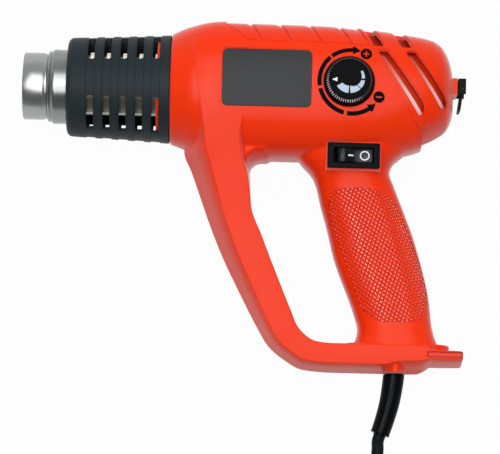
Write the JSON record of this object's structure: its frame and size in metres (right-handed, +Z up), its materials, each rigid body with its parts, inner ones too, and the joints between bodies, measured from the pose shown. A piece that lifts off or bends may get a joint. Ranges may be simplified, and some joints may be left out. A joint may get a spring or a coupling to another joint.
{
  "type": "hot air tool",
  "caption": "Hand-held hot air tool with a slotted barrel shroud, steel nozzle, D-shaped hand guard, rocker switch, temperature dial and hang loop, its cord coiled.",
  "frame": {"origin": "on the surface that the tool lies on, under the middle of the tool without its cord", "axes": "+X along the barrel from the nozzle to the rear cover, +Y across the surface from the foot towards the barrel, +Z up from the surface to the side with the dial"},
  "size_m": [0.2586, 0.3749, 0.0819],
  "materials": {
    "housing": "moulded red plastic, satin with a fine grain",
    "shroud": "moulded dark slate plastic, satin",
    "steel_tube": "drawn steel tube, satin",
    "mica": "mica sheet, slightly glossy",
    "wire": "resistance wire, dull grey",
    "ceramic": "unglazed white ceramic",
    "steel": "zinc plated steel",
    "black_plastic": "black moulded plastic, satin",
    "magnet": "ferrite, dark grey",
    "armature": "laminated steel core with copper windings",
    "board": "green glass-fibre board",
    "aluminium": "folded aluminium sheet",
    "film": "yellowish film capacitor",
    "brass": "bare brass",
    "label": "dark grey plate, satin, bare",
    "relief": "soft black rubber, slightly glossy",
    "cord": "dark grey rubber cable, matt",
    "brown_wire": "brown insulated wire",
    "blue_wire": "blue insulated wire",
    "white_wire": "white sleeved wire",
    "plug_plastic": "black moulded plug body",
    "nickel": "nickel plated pins"
  },
  "bodies": {
    "tool": {"left_housing": "housing", "right_housing": "housing", "rear_cover": "housing", "label_plate": "label", "nozzle": "steel_tube", "barrel_shroud": "shroud", "mica_sleeve": "mica", "mica_cross": "mica", "heater_winding": "wire", "heater_base": "ceramic", "thermal_cutout": "steel", "fan_duct": "black_plastic", "motor_can": "steel", "motor_end_cap": "black_plastic", "motor_magnet": "magnet", "potentiometer": "black_plastic", "control_board": "board", "triac_heatsink": "aluminium", "capacitor": "film", "rectifier": "black_plastic", "switch_body": "black_plastic", "switch_terminal_1": "brass", "switch_terminal_2": "brass", "strain_relief": "relief", "cord_sheath_end": "cord", "cord_clamp": "black_plastic", "clamp_screw_1": "steel", "clamp_screw_2": "steel", "board_screw_1": "steel", "board_screw_2": "steel", "lead_live": "brown_wire", "lead_neutral": "blue_wire", "heater_lead_1": "white_wire", "heater_lead_2": "white_wire", "hang_bracket": "black_plastic", "hang_pin": "steel", "bracket_screw": "steel", "cord_run": "cord", "cord_coil": "cord", "cord_tail": "cord", "cord_tie": "black_plastic", "plug_body": "plug_plastic", "plug_pin_1": "nickel", "plug_pin_2": "nickel", "housing_screw_1": "steel", "housing_screw_2": "steel", "housing_screw_3": "steel", "housing_screw_4": "steel", "housing_screw_5": "steel", "housing_screw_6": "steel"},
    "dial": {"temperature_dial": "black_plastic", "dial_spindle": "black_plastic"},
    "rocker": {"switch_rocker": "black_plastic"},
    "rotor": {"motor_shaft": "steel", "motor_armature": "armature", "impeller": "black_plastic"},
    "hang_loop": {"hang_loop": "black_plastic"}
  },
  "joints": [
    {"name": "dial_turn", "type": "hinge", "parent": "tool", "child": "dial", "pos_m": [0.05905, 0.07595, 0.07623], "axis": [0, -0.1106, 0.9939], "range_deg": [-115, 150]},
    {"name": "rocker_tip", "type": "hinge", "parent": "tool", "child": "rocker", "pos_m": [0.06285, 0.03682, 0.05527], "axis": [0, -0.9939, -0.1106], "range_deg": [0, 22]},
    {"name": "rotor_spin", "type": "hinge", "parent": "tool", "child": "rotor", "pos_m": [0.02245, 0.07926, 0.03736], "axis": [1, 0, 0], "continuous": true},
    {"name": "loop_swing", "type": "hinge", "parent": "tool", "child": "hang_loop", "pos_m": [0.12585, 0.08254, 0.03772], "axis": [0, -0.1106, 0.9939], "range_deg": [0, 120]}
  ]
}
